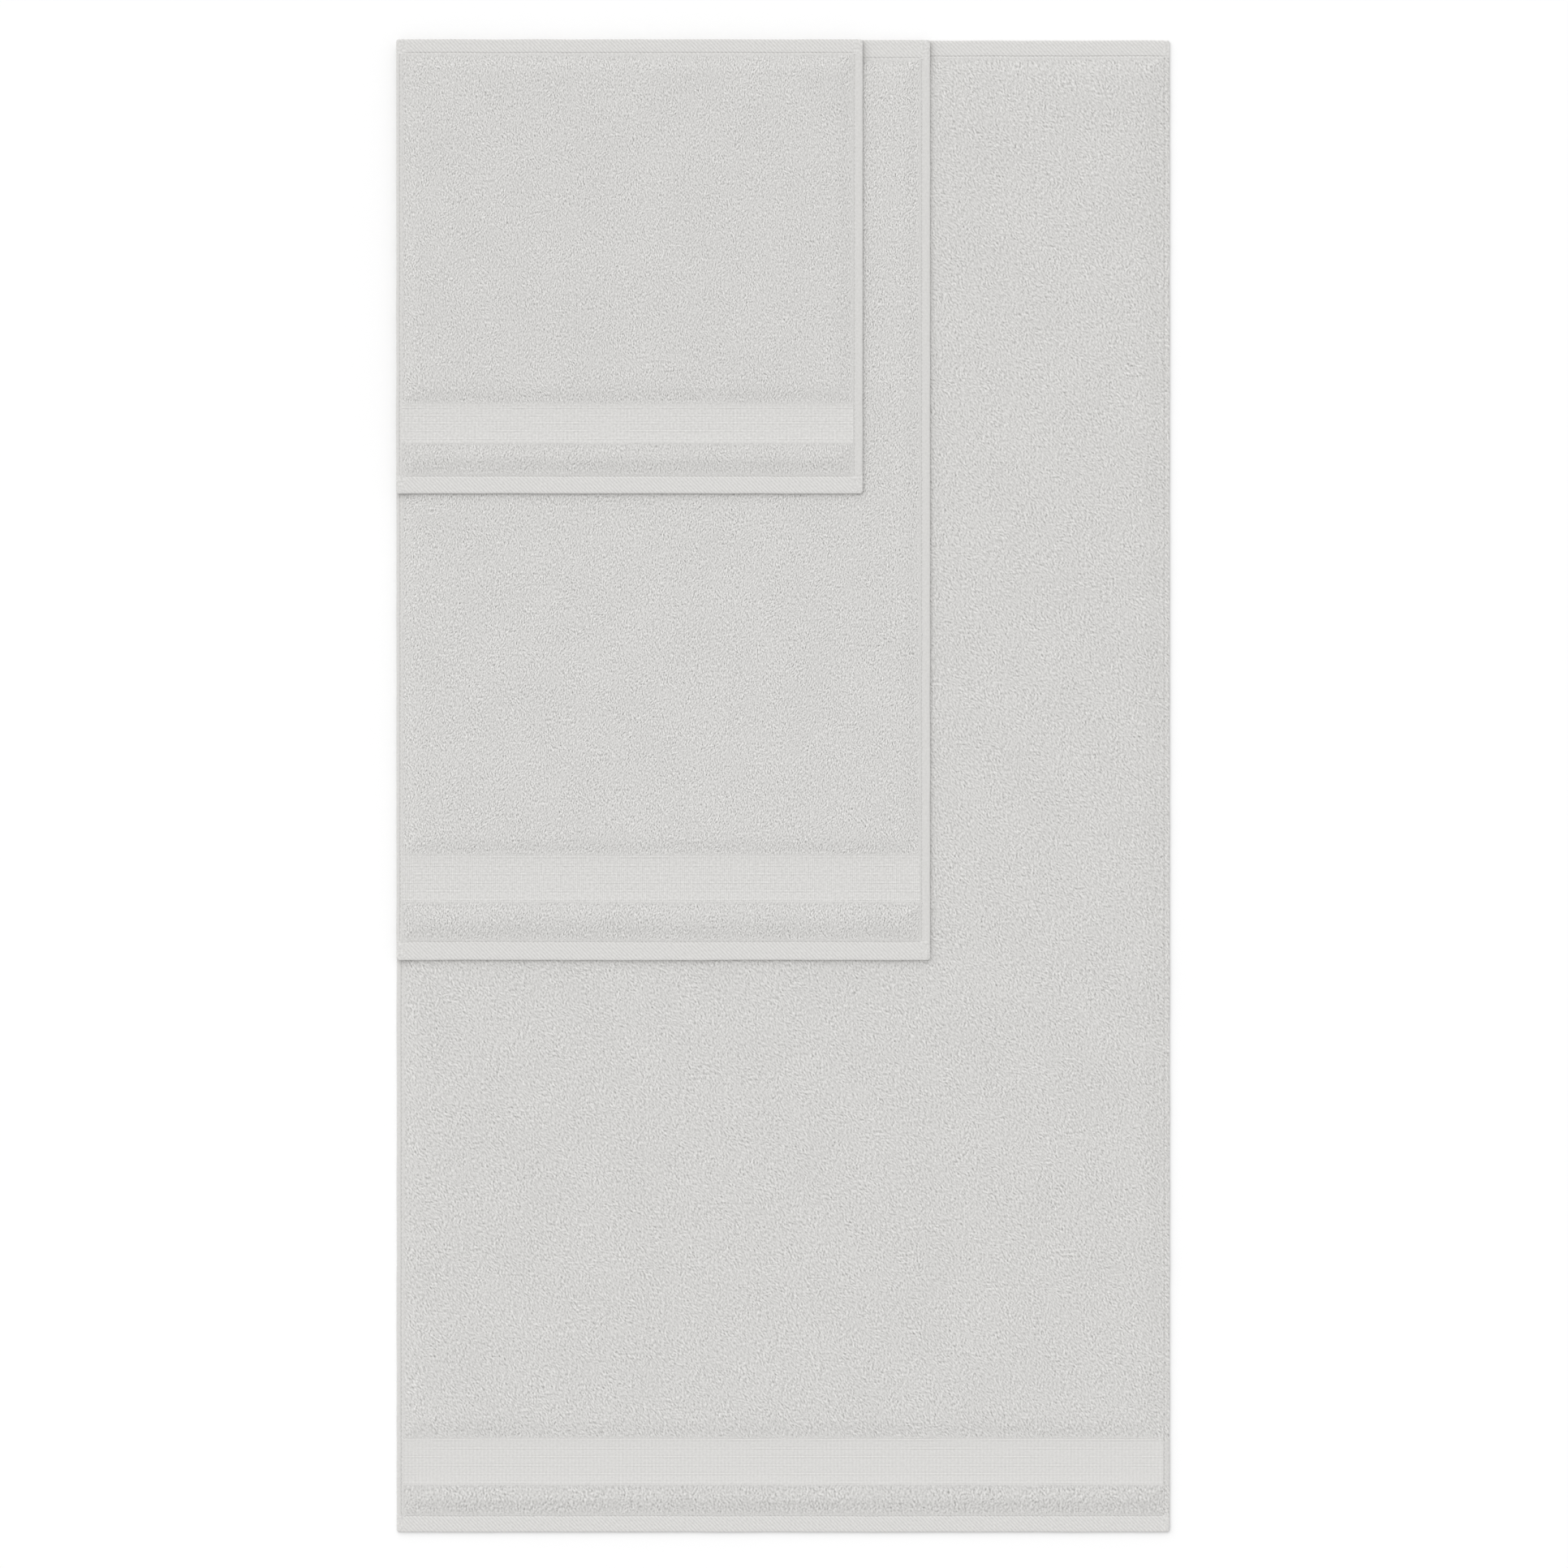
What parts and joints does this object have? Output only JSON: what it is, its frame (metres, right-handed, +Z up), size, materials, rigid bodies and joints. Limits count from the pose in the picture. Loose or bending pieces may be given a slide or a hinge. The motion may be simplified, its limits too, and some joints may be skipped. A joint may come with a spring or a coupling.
{
  "type": "bath towel set",
  "caption": "Stack of flat-laid terry towels, from bath towel to washcloth, each with hems, a dobby band and a foldable foot end.",
  "frame": {"origin": "middle of the bath towel's underside, on the surface that the set lies on", "axes": "+X across the towels to the right, +Y along their length to the head hems, +Z up out of the surface"},
  "size_m": [0.7, 1.351, 0.0126],
  "materials": {
    "terry_pile": "matte",
    "dobby_weave": "matte",
    "hem_cloth": "matte",
    "sewing_thread": "satin"
  },
  "bodies": {
    "bath_towel": {"bath_towel_head_hem": "hem_cloth", "bath_towel_terry_field": "terry_pile", "bath_towel_left_side_hem": "hem_cloth", "bath_towel_right_side_hem": "hem_cloth", "bath_towel_head_hem_thread": "sewing_thread", "bath_towel_side_hem_threads": "sewing_thread"},
    "bath_towel_foot": {"bath_towel_foot_terry": "terry_pile", "bath_towel_dobby_band": "dobby_weave", "bath_towel_foot_pile_strip": "terry_pile", "bath_towel_foot_hem": "hem_cloth", "bath_towel_foot_left_side_hem": "hem_cloth", "bath_towel_foot_right_side_hem": "hem_cloth", "bath_towel_foot_hem_threads": "sewing_thread"},
    "hand_towel": {"hand_towel_head_hem": "hem_cloth", "hand_towel_terry_field": "terry_pile", "hand_towel_left_side_hem": "hem_cloth", "hand_towel_right_side_hem": "hem_cloth", "hand_towel_head_hem_thread": "sewing_thread", "hand_towel_side_hem_threads": "sewing_thread"},
    "hand_towel_foot": {"hand_towel_foot_terry": "terry_pile", "hand_towel_dobby_band": "dobby_weave", "hand_towel_foot_pile_strip": "terry_pile", "hand_towel_foot_hem": "hem_cloth", "hand_towel_foot_left_side_hem": "hem_cloth", "hand_towel_foot_right_side_hem": "hem_cloth", "hand_towel_foot_hem_threads": "sewing_thread"},
    "washcloth": {"washcloth_head_hem": "hem_cloth", "washcloth_terry_field": "terry_pile", "washcloth_left_side_hem": "hem_cloth", "washcloth_right_side_hem": "hem_cloth", "washcloth_head_hem_thread": "sewing_thread", "washcloth_side_hem_threads": "sewing_thread"},
    "washcloth_foot": {"washcloth_foot_terry": "terry_pile", "washcloth_dobby_band": "dobby_weave", "washcloth_foot_pile_strip": "terry_pile", "washcloth_foot_hem": "hem_cloth", "washcloth_foot_left_side_hem": "hem_cloth", "washcloth_foot_right_side_hem": "hem_cloth", "washcloth_foot_hem_threads": "sewing_thread"}
  },
  "joints": [
    {"name": "bath_towel_fold", "type": "hinge", "parent": "bath_towel", "child": "bath_towel_foot", "pos_m": [0, -0.4205, 0.00415], "axis": [-1, 0, 0], "range_deg": [0, 179.5]},
    {"name": "hand_towel_fold", "type": "hinge", "parent": "hand_towel", "child": "hand_towel_foot", "pos_m": [0, 0.0495, 0.00845], "axis": [-1, 0, 0], "range_deg": [0, 179.5]},
    {"name": "hand_towel_lift", "type": "slide", "parent": "bath_towel", "child": "hand_towel", "axis": [0, 0, 1], "range_m": [0, 0.25]},
    {"name": "washcloth_fold", "type": "hinge", "parent": "washcloth", "child": "washcloth_foot", "pos_m": [0, 0.466, 0.01275], "axis": [-1, 0, 0], "range_deg": [0, 179.5]},
    {"name": "washcloth_lift", "type": "slide", "parent": "hand_towel", "child": "washcloth", "axis": [0, 0, 1], "range_m": [0, 0.25]}
  ]
}
